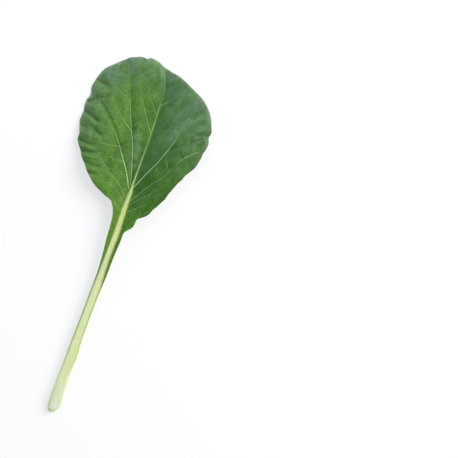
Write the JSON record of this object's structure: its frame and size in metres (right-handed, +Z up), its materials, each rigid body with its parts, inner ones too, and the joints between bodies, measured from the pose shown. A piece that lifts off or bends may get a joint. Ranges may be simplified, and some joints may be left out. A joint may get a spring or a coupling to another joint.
{
  "type": "tatsoi leaf",
  "caption": "Picked tatsoi leaf lying flat: a rounded, puckered dark green blade on a long slender pale stalk, as a salad ingredient or a plate garnish.",
  "frame": {"origin": "middle of the leaf's footprint, on the surface that it lies on", "axes": "+Y along the leaf from the cut end of the stalk to the tip, +X to the right across the blade, +Z up from the surface, out of the leaf's upper face"},
  "size_m": [0.0578, 0.1634, 0.0086],
  "materials": {
    "leaf": "satin green leaf with a pale stalk and veins"
  },
  "bodies": {
    "root": {"tatsoi_leaf": "leaf"}
  },
  "joints": []
}
